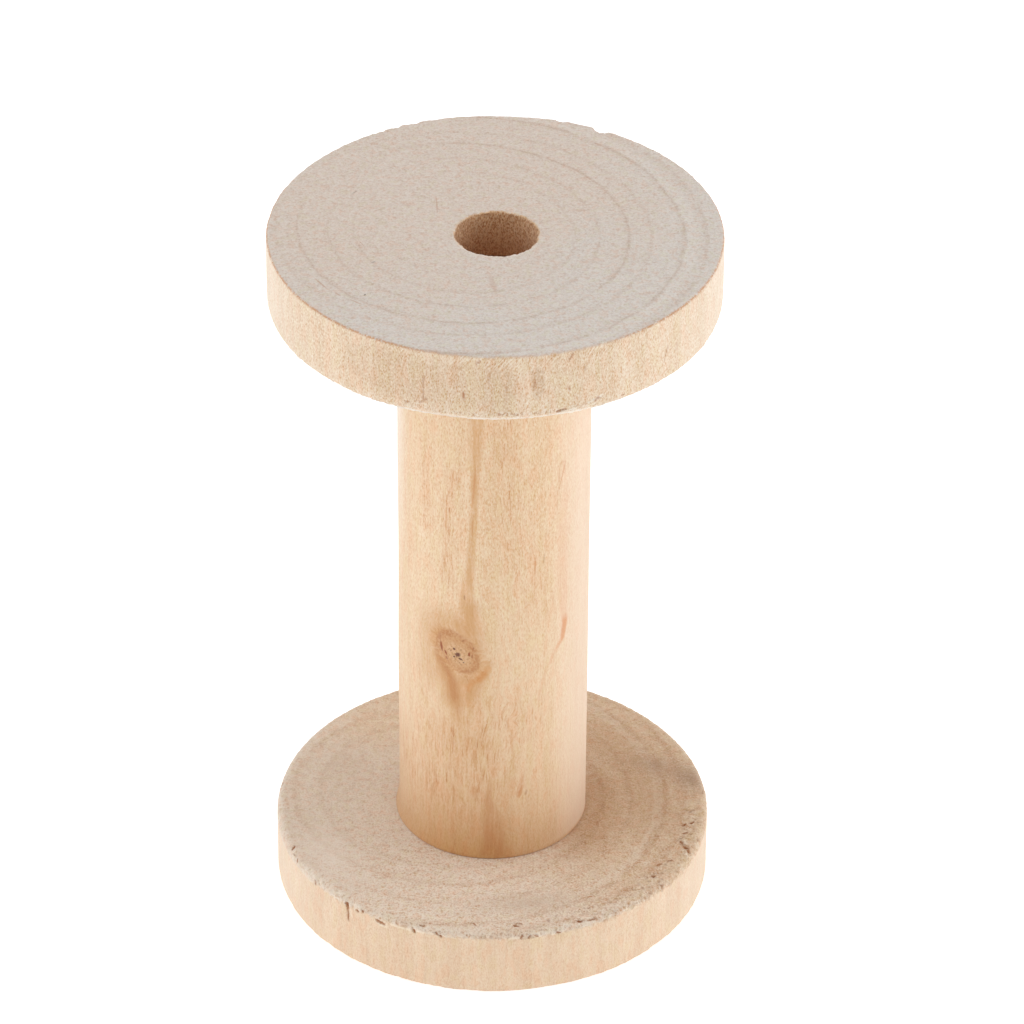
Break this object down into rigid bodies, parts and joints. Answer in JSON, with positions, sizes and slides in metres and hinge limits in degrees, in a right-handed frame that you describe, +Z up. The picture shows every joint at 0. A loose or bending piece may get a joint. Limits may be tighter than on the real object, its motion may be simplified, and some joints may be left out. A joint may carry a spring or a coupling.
{
  "type": "thread spool",
  "caption": "Bare turned wooden spool for sewing thread: a straight barrel between two flat round discs, with a spindle bore right through.",
  "frame": {"origin": "centre of the lower disc's outer face, on the bore's axis", "axes": "+Z up the bore from the lower disc to the upper one; +X and +Y lie in the lower disc's outer face, and the picture looks along +Y"},
  "size_m": [0.047, 0.047, 0.081],
  "materials": {
    "disc_wood": "bare, sawn end grain",
    "barrel_wood": "bare, turned"
  },
  "bodies": {
    "root": {"lower_disc": "disc_wood", "barrel": "barrel_wood", "upper_disc": "disc_wood"}
  },
  "joints": []
}
